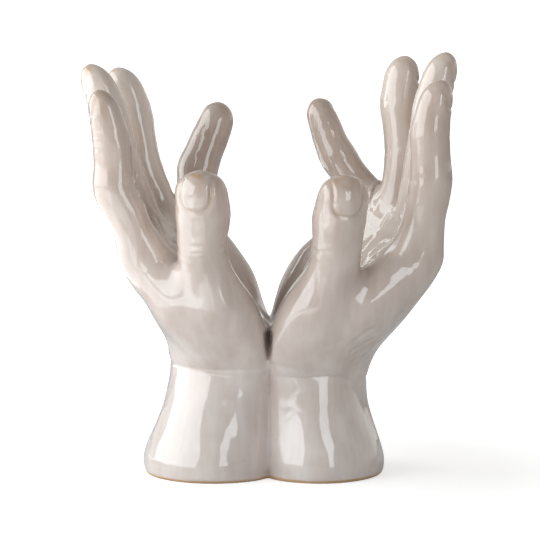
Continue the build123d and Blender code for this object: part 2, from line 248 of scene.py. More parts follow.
def worked(piece, kind, **settings):
    """Applies one modifier to a piece."""
    modifier = piece.modifiers.new(kind, kind)
    for key, value in settings.items():
        setattr(modifier, key, value)
    shown = piece.evaluated_get(bpy.context.evaluated_depsgraph_get())
    mesh = bpy.data.meshes.new_from_object(shown)
    piece.modifiers.clear()
    piece.vertex_groups.clear()
    old = piece.data
    piece.data = mesh
    bpy.data.meshes.remove(old)


def points_of(mesh):
    """A mesh's points, in mm."""
    values = np.empty(len(mesh.vertices) * 3, np.float32)
    mesh.vertices.foreach_get("co", values)
    return values.reshape(-1, 3).astype(float) / MM


def normals_of(mesh):
    """A mesh's point normals."""
    values = np.empty(len(mesh.vertices) * 3, np.float32)
    mesh.vertex_normals.foreach_get("vector", values)
    return values.reshape(-1, 3).astype(float)


def put_points(mesh, points):
    """Moves a mesh's points to new places, in mm."""
    mesh.vertices.foreach_set("co", (points * MM).astype(np.float32).ravel())
    mesh.update()


def ramp(values, low, high):
    """A smooth rise from 0 at the low value to 1 at the high one."""
    t = np.clip((values - low) / (high - low), 0, 1)
    return t * t * (3 - 2 * t)


def bump(values, width):
    """A smooth bump, 1 at zero."""
    return np.exp(-((values / width) ** 2) / 2)


def creased(distance, depth, width):
    """A pressed crease with soft lips."""
    lips = bump(np.abs(distance) - LIP_OUT * width, width)
    return -depth * bump(distance, width) + LIP_HEIGHT * depth * lips


def smoothed(piece, weights, amount):
    """Smooths a piece over about so many square mm, by weight."""
    levels = 20
    group = piece.vertex_groups.new(name="soft")
    steps = np.round(weights * levels).astype(int)
    for level in range(1, levels + 1):
        group.add(np.flatnonzero(steps == level).tolist(), level / levels, "REPLACE")
    worked(piece, "SMOOTH", factor=0.5, iterations=round(amount / CLAY_GRAIN**2), vertex_group="soft")


def distance_to_line(points, line):
    """Each point's distance from a run of straight steps."""
    best = np.full(len(points), np.inf)
    for start, end in zip(line[:-1], line[1:]):
        step = end - start
        share = np.clip(((points - start) @ step) / (step @ step), 0, 1)
        best = np.minimum(best, np.linalg.norm(points - start - share[:, None] * step, axis=1))
    return best


class Axis:
    """The middle line of a digit, by height, with the side that its nail is on."""

    def __init__(self, node, dorsal):
        points = points_of(node.data)
        self.tip = points[:, 2].max()
        self.base = points[:, 2].min() + PEG_DEPTH
        heights = np.arange(self.base, self.tip - AXIS_UNDER_TIP, AXIS_STEP)
        centres = []
        for height in heights:
            near = points[np.abs(points[:, 2] - height) < AXIS_BAND]
            centres.append((near.min(0)[:2] + near.max(0)[:2]) / 2)
        self.heights = heights
        self.centres = np.array(centres)
        for k in (0, 1):
            self.centres[:, k] = np.polyval(np.polyfit(heights, self.centres[:, k], AXIS_ORDER), heights)
        steps = np.linalg.norm(np.diff(np.column_stack([self.centres, heights]), axis=0), axis=1)
        self.along = np.concatenate([[0.0], np.cumsum(steps)])
        self.length = self.along[-1] + self.tip - heights[-1]
        self.dorsal = np.array(dorsal) / np.linalg.norm(dorsal)

    def centre(self, z):
        """The middle of the digit at some heights."""
        return np.column_stack([np.interp(z, self.heights, self.centres[:, k]) for k in (0, 1)] + [z])

    def joint(self, up):
        """The middle of the digit a way up from its base, and the way that it points there."""
        half = AXIS_SPAN / 2
        low, high = self.centre(np.array([self.base + up - half, self.base + up + half]))
        way = (high - low) / np.linalg.norm(high - low)
        return (low + high) / 2, way

    def frame(self, points):
        """For each point: its distance from the tip, how far it is across, and how far to the nail's side."""
        z = np.clip(points[:, 2], self.heights[0], self.heights[-1])
        centre = self.centre(z)
        low = np.clip(z - AXIS_SPAN, self.heights[0], self.heights[-1] - AXIS_SPAN)
        way = self.centre(low + AXIS_SPAN) - self.centre(low)
        way /= np.linalg.norm(way, axis=1, keepdims=True)
        offset = points - centre
        extra = (offset * way).sum(1)
        offset -= extra[:, None] * way
        dorsal = self.dorsal - way * (way @ self.dorsal)[:, None]
        dorsal /= np.linalg.norm(dorsal, axis=1, keepdims=True)
        across = np.cross(way, dorsal)
        from_tip = self.length - np.interp(z, self.heights, self.along) - extra
        return from_tip, (offset * across).sum(1), (offset * dorsal).sum(1)


def free_length(points, axes):
    """How far each point is along the digit that it is nearest to, and which digit that is, or -1."""
    along = np.full(len(points), OFF_DIGITS)
    which = np.full(len(points), -1)
    nearest = np.full(len(points), DIGIT_REACH)
    for number, axis in enumerate(axes.values()):
        from_tip, across, up = axis.frame(points)
        radius = np.hypot(across, up)
        inside = (points[:, 2] > axis.base - DIGIT_ROOT) & (radius < nearest)
        along = np.where(inside, axis.length - from_tip, along)
        which = np.where(inside, number, which)
        nearest = np.where(inside, radius, nearest)
    return along, which


def by_digit(key):
    """A fact of each digit of both hands, in the order of the axes, and 0 for what is on no digit."""
    return np.array([facts[key][k] for k in range(len(SIDES)) for facts in DIGITS.values()] + [0.0])


def ball(shape, centre, radius):
    """Adds a ball of clay."""
    place = Matrix.Translation(Vector(centre) * MM)
    bmesh.ops.create_icosphere(shape, subdivisions=3, radius=radius * MM, matrix=place)


def shut_hollow(side, nodes):
    """A lid over a hand's hollow, above its plug, and a cover over the lid's vent."""
    lid = clay("lid", nodes[f"{side}_base_plug"])
    raised = points_of(lid.data)
    raised[:, 2] += LID_RAISED
    put_points(lid.data, raised)
    middle = (raised.min(0) + raised.max(0)) / 2
    shape = bmesh.new()
    bmesh.ops.create_cone(
        shape, cap_ends=True, segments=32, depth=VENT_COVER_DEPTH * MM,
        radius1=VENT_COVER_RADIUS * MM, radius2=VENT_COVER_RADIUS * MM,
        matrix=Matrix.Translation(Vector((middle[0], middle[1], VENT_COVER_HEIGHT)) * MM),
    )
    return lid, modelled("vent_cover", shape)


def webs(side, axes):
    """Clay worked in between the roots of the fingers."""
    shape = bmesh.new()
    fingers = [axes[f"{side}_{digit}"] for digit in DIGITS if digit != "thumb"]
    for axis in fingers:
        for step in ROOT_BALLS:
            ball(shape, axis.centre(np.array([axis.base + step]))[0], ROOT_BALL_RADIUS)
    for one, other in zip(fingers[:-1], fingers[1:]):
        top = max(one.base, other.base)
        for step, radius in WEB_BALLS:
            height = np.array([top + step])
            ball(shape, (one.centre(height)[0] + other.centre(height)[0]) / 2, radius)
    return modelled("webs", shape)


def seam_filler(points):
    """Luting slip worked into the seam between the stubs, a little behind their faces."""
    shape = bmesh.new()
    near = points[np.abs(points[:, 0]) < FILLER_NEAR]
    rings = []
    for height in np.arange(FILLER_BOTTOM, FILLER_TOP, FILLER_STEP):
        level = near[np.abs(near[:, 2] - height) < FILLER_BAND][:, 1]
        crease_shaded = FILLER_DEPTH + FILLER_DEEPER_ABOVE * float(ramp(height, *VALLEY_TOP))
        front, back = level.min() + crease_shaded, level.max() - crease_shaded
        corners = ((-FILLER_HALF, front), (FILLER_HALF, front), (FILLER_HALF, back), (-FILLER_HALF, back))
        rings.append([shape.verts.new(Vector((x, y, height)) * MM) for x, y in corners])
    for low, high in zip(rings[:-1], rings[1:]):
        for k in range(4):
            shape.faces.new((low[k], low[(k + 1) % 4], high[(k + 1) % 4], high[k]))
    shape.faces.new(rings[0][::-1])
    shape.faces.new(rings[-1])
    return modelled("seam_filler", shape)


def crease_height(points):
    """How high the crease round the wrists is at each point."""
    level = np.interp(points[:, 0], *zip(*WRIST_CREASE))
    for k, (height, length) in enumerate((CREASE_WAVE_ACROSS, CREASE_WAVE_BACK)):
        level += height * np.sin(points[:, k] / length)
    return level


def modelled_skin(axes):
    """Both hands, joined at the wrists, as one clay form."""
    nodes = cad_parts
    solid = [piece for name, piece in nodes.items() if "plug" not in name]
    bodies = [nodes[f"{side}_{part}"] for side in SIDES for part in ("forearm_stub", "palm")]
    extra = [piece for side in SIDES for piece in (*shut_hollow(side, nodes), webs(side, axes))]
    extra.append(seam_filler(np.concatenate([points_of(body.data) for body in bodies])))
    skin = clay("skin", *solid, *extra)
    for piece in extra:
        bpy.data.objects.remove(piece)
    worked(skin, "REMESH", mode="VOXEL", voxel_size=CLAY_GRAIN * MM)
    points = points_of(skin.data)
    x, y, z = points.T
    along, which = free_length(points, axes)
    free = ramp(along, *FREE_DIGIT)
    footed = ramp(z, *FOOT_HEIGHT)
    wrist = bump(z - crease_height(points) + WRIST_BELOW_CREASE, WRIST_REACH) * (along < 0)
    seam = bump(x, SEAM_REACH) * (1 - ramp(z, *SEAM_TOP)) * (1 - bump(z - SEAM_JOINT, SEAM_JOINT_REACH))
    roots = (1 - free) * ramp(z, *ROOT_HEIGHT) * ramp(np.abs(x), *ROOT_OUT) * ramp(y, *ROOT_BACK)
    smoothed(skin, (1 - free) * footed * (1 - SEAM_KEPT * seam), JOINT_SMOOTHING)
    smoothed(skin, roots, ROOT_SMOOTHING)
    inner = ramp(-normals_of(skin.data)[:, 0] * np.sign(x), *CUP_FACING) * ramp(np.abs(x), *CUP_OUT)
    smoothed(skin, inner * (1 - ramp(along, *CUP_UP_DIGIT)) * ramp(z, *CUP_HEIGHT), CUP_SMOOTHING)
    smoothed(skin, wrist * (1 - SEAM_KEPT_AT_WRIST * seam), WRIST_SMOOTHING)
    smoothed(skin, footed, DIGIT_SMOOTHING)
    fill = ROOT_FILL * roots + JOINT_FILL * (1 - free) * footed + WRIST_FILL * wrist
    fill += by_digit("fill")[which] * free + FOOT_FILL * (1 - ramp(z, *FLARE_HEIGHT))
    put_points(skin.data, points_of(skin.data) + normals_of(skin.data) * fill[:, None])
    return skin


def pressed_nail(from_tip, across, up, breadth, length):
    """How far the clay is raised or sunk by a nail, and where the glaze breaks on its rim."""
    v = from_tip - NAIL_SET_BACK - length / 2
    side = np.abs(across) / (breadth / 2)
    root = np.clip(v / (length / 2), 0, None)
    outline = (side**NAIL_SQUARENESS + root**NAIL_SQUARENESS) ** (1 / NAIL_SQUARENESS)
    edge = (outline - 1) * breadth / 2
    rooted = ramp(v, length * ROOTED_FROM, length * ROOTED_AT)
    size = breadth / DIGITS["thumb"]["nail"][0]
    groove = -GROOVE_DEPTH * size * bump(edge, GROOVE_WIDTH) * rooted
    fold = FOLD_HEIGHT * size**2 * bump(edge - FOLD_OUT, FOLD_WIDTH) * rooted
    plate = PLATE_HEIGHT * size**2 * ramp(-edge, *PLATE_EDGE)
    plate *= ramp(v, -length / 2 - PLATE_END, -length / 2 + PLATE_END)
    rim = bump(v + length / 2, RIM_WIDTH) * (edge < PLATE_END)
    rim += ROOT_RIM_SHARE * bump(edge - ROOT_RIM_OUT, GROOVE_WIDTH) * rooted
    dorsal = ramp(up, *NAIL_SIDE)
    return dorsal * (groove + fold + plate), dorsal * rim


def pressed_digit(name, axis, points, along):
    """How far a digit's points are raised and moved over, and how thin the glaze is on its nail and tip."""
    side, digit = name.split("_", 1)
    facts = DIGITS[digit]
    from_tip, across, up = axis.frame(points)
    lift, rim = pressed_nail(from_tip, across, up, *facts["nail"])
    palmar, back = ramp(-up, *PALM_SIDE), ramp(up, *BACK_SIDE)
    for joint in facts["joints"]:
        lift += facts["swell"] * bump(from_tip - joint, JOINT_WIDTH)
        for k in range(WRINKLES):
            place = k - (WRINKLES - 1) / 2
            wrinkle = from_tip - joint - place * WRINKLE_PITCH + WRINKLE_BOW * across**2 * place
            lift += back * creased(wrinkle, facts["swell"] * WRINKLE_SHARE, WRINKLE_WIDTH)
        flexion = from_tip - joint + FLEXION_BOW * across**2
        lift += palmar * creased(flexion, facts["swell"] * FLEXION_SHARE, FLEXION_WIDTH)
        lift += PAD_HEIGHT * palmar * bump(from_tip - joint + 0.5 * facts["joints"][0], PAD_WIDTH)
    shift = np.zeros_like(points)
    if digit == "thumb":
        over = THUMBS_SET_OVER[side]
    else:
        over = np.interp(points[:, 1], FINGER_ROWS, FINGERS_SET_OVER[side])
        shift += (TIP_LEAN * np.clip(1 - from_tip / TIP_LENGTH, 0, 1) ** 2)[:, None] * axis.dorsal
    shift[:, 0] += ramp(along, *SET_OVER_UP_DIGIT) * over
    if digit == "little_finger":
        shift[:, 0] += LITTLE_BOWED[side] * bump(from_tip - LITTLE_BOW_FROM_TIP, LITTLE_BOW_REACH)
    return lift, shift, rim + TIP_BREAK * bump(from_tip - TIP_BREAK_FROM, TIP_BREAK_WIDTH)


def uneven_clay(points, along):
    """The slow unevenness of hand-worked clay, quieter on the digits."""
    total = np.zeros(len(points))
    for height, lengths, seed in WAVES:
        draw = np.random.default_rng(seed)
        for length in lengths:
            way = draw.normal(size=3)
            way /= np.linalg.norm(way)
            phase = draw.uniform(0, 6.28)
            total += height * length * np.sin(points @ way * 2 * math.pi / length + phase)
    return total * (1 - WAVES_QUIETED * ramp(along, *WAVES_UP_DIGIT))


def wrist_ledge(points, along):
    """The soft crease round the wrists, with the ledge over it."""
    above = points[:, 2] - crease_height(points)
    ledge = WRIST_LEDGE * ramp(above, *LEDGE_RISE) * (1 - ramp(above, *LEDGE_FADE))
    return np.where(along < 0, creased(above, WRIST_CREASE_DEPTH, WRIST_CREASE_WIDTH) + ledge, 0)


def front_creases(mesh, points):
    """The creases that are seen from the front, cast onto the clay."""
    tree = BVHTree.FromPolygons(points.tolist(), [tuple(face.vertices) for face in mesh.polygons])
    total = np.zeros(len(points))
    for depth, *places in CREASES:
        hits = [tree.ray_cast(Vector((x, IN_FRONT, z)), Vector((0, 1, 0)))[0] for x, z in places]
        line = np.array([hit for hit in hits if hit is not None])
        total += creased(distance_to_line(points, line), depth, CREASE_WIDTH)
    return total


def knuckles_and_tendons(points, axes):
    """The swell of each finger's knuckle, and the tendon from it to the wrist."""
    total = np.zeros(len(points))
    for name, axis in axes.items():
        side, digit = name.split("_", 1)
        if digit == "thumb":
            continue
        out = np.array([SIDES[side], 1, 1])
        knuckle = axis.centre(np.array([axis.base]))[0] + out * KNUCKLE_PLACE
        total += KNUCKLE_HEIGHT * bump(np.linalg.norm(points - knuckle, axis=1), KNUCKLE_WIDTH)
        wrist = out * (TENDON_END_OUT, knuckle[1] * TENDON_END_GATHERED, TENDON_END_HEIGHT)
        bend = (knuckle + wrist) / 2 + out * TENDON_BOW
        tendon = distance_to_line(points, np.array([knuckle, bend, wrist]))
        total += TENDON_HEIGHT * bump(tendon, TENDON_WIDTH)
    return total


def filled_heels(points, along):
    """Clay added at the heels of the palms, inside the cup."""
    total = np.zeros(len(points))
    for sign in SIDES.values():
        place = np.array(HEEL_PLACE) * (sign, 1, 1)
        total += HEEL_FILL * bump(np.linalg.norm(points - place, axis=1), HEEL_REACH)
    return total * (along < 0)


def sides_set_in(points):
    """How far to the right the sides of the knuckles and the wrists are moved."""
    x, _, z = points.T
    total = np.zeros(len(points))
    for side, sign in SIDES.items():
        knuckles = ramp(sign * x, *KNUCKLES_OUT) * bump(z - KNUCKLES_HEIGHT, KNUCKLES_REACH)
        wrist = bump(z - WRIST_SIDE_HEIGHT, WRIST_SIDE_REACH) + STUB_SET_IN_SHARE * (1 - ramp(z, *STUB_TOP))
        wrist *= ramp(sign * x, *WRIST_OUT)
        total -= sign * (KNUCKLES_SET_IN[side] * knuckles + WRISTS_SET_IN[side] * wrist)
    return total


def carved_seam(points, normals):
    """How far to the back points move where the valley along the seam and the pit under the V are carved."""
    x, y, z = points.T
    inward = np.sign(-normals[:, 1]) * ramp(np.abs(normals[:, 1]), *VALLEY_FACING)
    deeper = 1 + VALLEY_DEEPER_AT_JOINT * bump(z - SEAM_JOINT, SEAM_JOINT_REACH)
    valley = inward * deeper * bump(x, VALLEY_HALF) * (1 - ramp(z, *VALLEY_TOP))
    pit = np.exp(-np.abs(x / PIT_HALF) ** PIT_SQUARENESS) * ramp(z, *PIT_RISE) * (1 - ramp(z, *PIT_TOP))
    return VALLEY_DEPTH * valley + PIT_DEPTH * pit * (y < PIT_FRONT)


def wrists_set_back(points, normals):
    """How far back the fronts of the wrists are set, round the crease."""
    x, _, z = points.T
    start = np.where(x < 0, *WRIST_SET_FROM)
    rise = np.clip((z - start) / WRIST_SET_RUN, 0, 1) ** 2 * (1 - ramp(z, *WRIST_SET_FADE))
    across = bump(np.abs(x) - WRIST_SET_OUT, WRIST_SET_REACH)
    return WRIST_SET_BACK * rise * across * ramp(-normals[:, 1], *WRIST_SET_FACING)


def ridges(mesh, points, reach):
    """How far each point stands out from its surroundings over about so many square mm."""
    ends = np.empty(len(mesh.edges) * 2, np.int32)
    mesh.edges.foreach_get("vertices", ends)
    one, other = ends[0::2], ends[1::2]
    count = np.bincount(ends, minlength=len(points))[:, None]
    spread = points
    for _ in range(round(2 * reach / CLAY_GRAIN**2)):
        spread = np.column_stack([
            np.bincount(one, spread[other, k], len(points)) + np.bincount(other, spread[one, k], len(points))
            for k in range(3)
        ]) / count
    return ((points - spread) * normals_of(mesh)).sum(1)


def glaze_marked(mesh, points, facing, along, which, thin):
    """Marks painted light in the cup and on some digits, thin glaze, and painted shade in hollows."""
    x, _, z = points.T
    ridge = ridges(mesh, points, RIDGE_REACH)
    inside = ramp(-facing[:, 0] * np.sign(x), *INNER_LIGHT_FACING) * ramp(z, *INNER_LIGHT_HEIGHT)
    inside *= ramp(np.abs(x), *INNER_LIGHT_OUT)
    free = ramp(along, *INNER_LIGHT_UP_DIGIT)
    marks = {
        # Painted light inside the cup and, by each digit's coat share, on the digits
        "painted_inner_light": inside * (1 - free) + by_digit("coat")[which] * free,
        "thin_glaze": np.maximum(thin, THIN_RIDGE_SHARE * ramp(ridge, *THIN_RIDGE)),
        # Painted shade in hollows
        "painted_crease_shade": ramp(-ridge, *CREASE_SHADE_HOLLOW),
    }
    for name, values in marks.items():
        mark = mesh.attributes.new(name, "FLOAT", "POINT")
        mark.data.foreach_set("value", np.clip(values, 0, 1).astype(np.float32))


def sculpted(skin, axes):
    """Presses nails, creases, knuckles and tendons into the clay, and marks how the glaze lies on it."""
    mesh = skin.data
    points, normals = points_of(mesh), normals_of(mesh)
    along, which = free_length(points, axes)
    lift, thin = np.zeros(len(points)), np.zeros(len(points))
    shift = np.zeros_like(points)
    for number, (name, axis) in enumerate(axes.items()):
        mine = np.flatnonzero(which == number)
        lift[mine], shift[mine], thin[mine] = pressed_digit(name, axis, points[mine], along[mine])
    lift += uneven_clay(points, along) + wrist_ledge(points, along) + front_creases(mesh, points)
    lift += knuckles_and_tendons(points, axes) + filled_heels(points, along)
    lift *= ramp(points[:, 2], *FOOT_FLAT)
    shift[:, 0] += sides_set_in(points)
    shift[:, 1] += carved_seam(points, normals) + wrists_set_back(points, normals)
    points += normals * lift[:, None] + shift
    points[:, 2] = np.maximum(points[:, 2], 0)
    put_points(mesh, points)
    glaze_marked(mesh, points, normals, along, which, thin)


def cut(shape, place, way):
    """What is left of a closed shape in front of a plane, closed again."""
    kept = shape.copy()
    everything = [*kept.verts, *kept.edges, *kept.faces]
    done = bmesh.ops.bisect_plane(
        kept, geom=everything, dist=ON_CUT * MM, clear_inner=True,
        plane_co=Vector(place) * MM, plane_no=Vector(way),
    )
    rim = [part for part in done["geom_cut"] if isinstance(part, bmesh.types.BMEdge)]
    bmesh.ops.holes_fill(kept, edges=rim, sides=0)
    return kept


def kept_faces(shape, keep):
    """A copy of a shape with only some of its faces, closed again."""
    kept = shape.copy()
    kept.faces.ensure_lookup_table()
    bmesh.ops.delete(kept, geom=[kept.faces[k] for k in np.flatnonzero(~keep)], context="FACES")
    rim = [edge for edge in kept.edges if edge.is_boundary]
    bmesh.ops.holes_fill(kept, edges=rim, sides=0)
    return kept


def one_body(shape):
    """Leaves only the largest of a shape's separate bodies."""
    shape.verts.index_update()
    seen = np.zeros(len(shape.verts), bool)
    bodies = []
    for start in shape.verts:
        if seen[start.index]:
            continue
        seen[start.index] = True
        body, waiting = [], [start]
        while waiting:
            vert = waiting.pop()
            body.append(vert)
            for edge in vert.link_edges:
                near = edge.other_vert(vert)
                if not seen[near.index]:
                    seen[near.index] = True
                    waiting.append(near)
        bodies.append(body)
    bodies.sort(key=len)
    bmesh.ops.delete(shape, geom=[vert for body in bodies[:-1] for vert in body], context="VERTS")


def face_centres(shape):
    """The middles of a shape's faces, in mm."""
    return np.array([face.calc_center_median() for face in shape.faces]) / MM


def ringed(shape, axes, number, name):
    """Scores a line round a digit where its glazed piece is cut off."""
    place, way = axes[name].joint(DIGITS[name.split("_", 1)[1]]["cut"])
    centres = face_centres(shape)
    _, which = free_length(centres, axes)
    shape.faces.ensure_lookup_table()
    near = (which == number) & (np.abs((centres - place) @ way) < RING_REACH)
    faces = [shape.faces[k] for k in np.flatnonzero(near)]
    edges = dict.fromkeys(edge for face in faces for edge in face.edges)
    verts = dict.fromkeys(vert for face in faces for vert in face.verts)
    bmesh.ops.bisect_plane(
        shape, geom=[*verts, *edges, *faces], dist=ON_CUT * MM,
        plane_co=Vector(place) * MM, plane_no=Vector(way),
    )


def gathered(shape, which):
    """Which piece each face is part of, with stray patches given to the piece round them."""
    shape.faces.index_update()
    shape.faces.ensure_lookup_table()
    seen = np.zeros(len(which), bool)
    patches = []
    for start in range(len(which)):
        if seen[start]:
            continue
        seen[start] = True
        patch, around, waiting = [], [], [start]
        while waiting:
            k = waiting.pop()
            patch.append(k)
            for edge in shape.faces[k].edges:
                for face in edge.link_faces:
                    if which[face.index] != which[k]:
                        around.append(which[face.index])
                    elif not seen[face.index]:
                        seen[face.index] = True
                        waiting.append(face.index)
        patches.append((which[start], patch, around))
    tidy = which.copy()
    placed = set()
    for label, patch, around in sorted(patches, key=lambda entry: -len(entry[1])):
        if label in placed and around:
            tidy[patch] = max(set(around), key=around.count)
        placed.add(label)
    return tidy


def glazed_piece(node_name, shape, skin):
    """One closed piece of the glazed skin, shaded as part of the whole."""
    one_body(shape)
    bmesh.ops.triangulate(shape, faces=[face for face in shape.faces if len(face.verts) > 4])
    piece = modelled(f"glazed_{node_name}", shape)
    piece.data.polygons.foreach_set("use_smooth", [True] * len(piece.data.polygons))
    worked(piece, "DATA_TRANSFER", object=skin, use_loop_data=True, data_types_loops={"CUSTOM_NORMAL"},
           loop_mapping="POLYINTERP_NEAREST")
    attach(piece, "root")
    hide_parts(node_name)
    return piece


def hands():
    """The glazed pieces of both hands."""
    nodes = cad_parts
    axes = {
        f"{side}_{digit}": Axis(nodes[f"{side}_{digit}"], np.array(facts["dorsal"]) * (sign, 1, 1))
        for side, sign in SIDES.items() for digit, facts in DIGITS.items()
    }
    skin = modelled_skin(axes)
    sculpted(skin, axes)
    skin.data.polygons.foreach_set("use_smooth", [True] * len(skin.data.polygons))
    whole = bmesh.new()
    whole.from_mesh(skin.data)
    middle = cut(cut(whole, (-LUTING_HALF, 0, 0), (1, 0, 0)), (LUTING_HALF, 0, 0), (-1, 0, 0))
    made = [glazed_piece("wrist_luting", middle, skin)]
    for side, sign in SIDES.items():
        hand = cut(whole, (sign * LUTING_HALF, 0, 0), (sign, 0, 0))
        wrist = (0, 0, WRIST_JOINT[side])
        made.append(glazed_piece(f"{side}_forearm_stub", cut(hand, wrist, (0, 0, -1)), skin))
        upper = cut(hand, wrist, (0, 0, 1))
        hand.free()
        mine = {number: name for number, name in enumerate(axes) if name.startswith(side)}
        for number, name in mine.items():
            ringed(upper, axes, number, name)
        centres = face_centres(upper)
        _, which = free_length(centres, axes)
        for number, name in mine.items():
            place, way = axes[name].joint(DIGITS[name.split("_", 1)[1]]["cut"])
            which[(which == number) & ((centres - place) @ way < 0)] = -1
        which = gathered(upper, which)
        for number, name in mine.items():
            made.append(glazed_piece(name, kept_faces(upper, which == number), skin))
        made.append(glazed_piece(f"{side}_palm", kept_faces(upper, which == -1), skin))
        upper.free()
    whole.free()
    bpy.data.objects.remove(skin)
    return made


def linear(colour):
    """An sRGB hex colour as linear values."""
    parts = [int(colour[i : i + 2], 16) / 255 for i in (1, 3, 5)]
    return [c / 12.92 if c <= 0.04045 else ((c + 0.055) / 1.055) ** 2.4 for c in parts] + [1.0]


def per_metre(size):
    """How often a pattern of so many mm comes in a metre."""
    return 1 / (size * MM)


def node(tree, kind, inputs=(), **settings):
    """Adds a shader node with its settings, and links or sets its inputs, by name or by number."""
    made = tree.nodes.new("ShaderNode" + kind)
    for key, value in settings.items():
        setattr(made, key, value)
    for key, value in dict(inputs).items():
        if isinstance(value, bpy.types.NodeSocket):
            tree.links.new(value, made.inputs[key])
        else:
            made.inputs[key].default_value = value
    return made


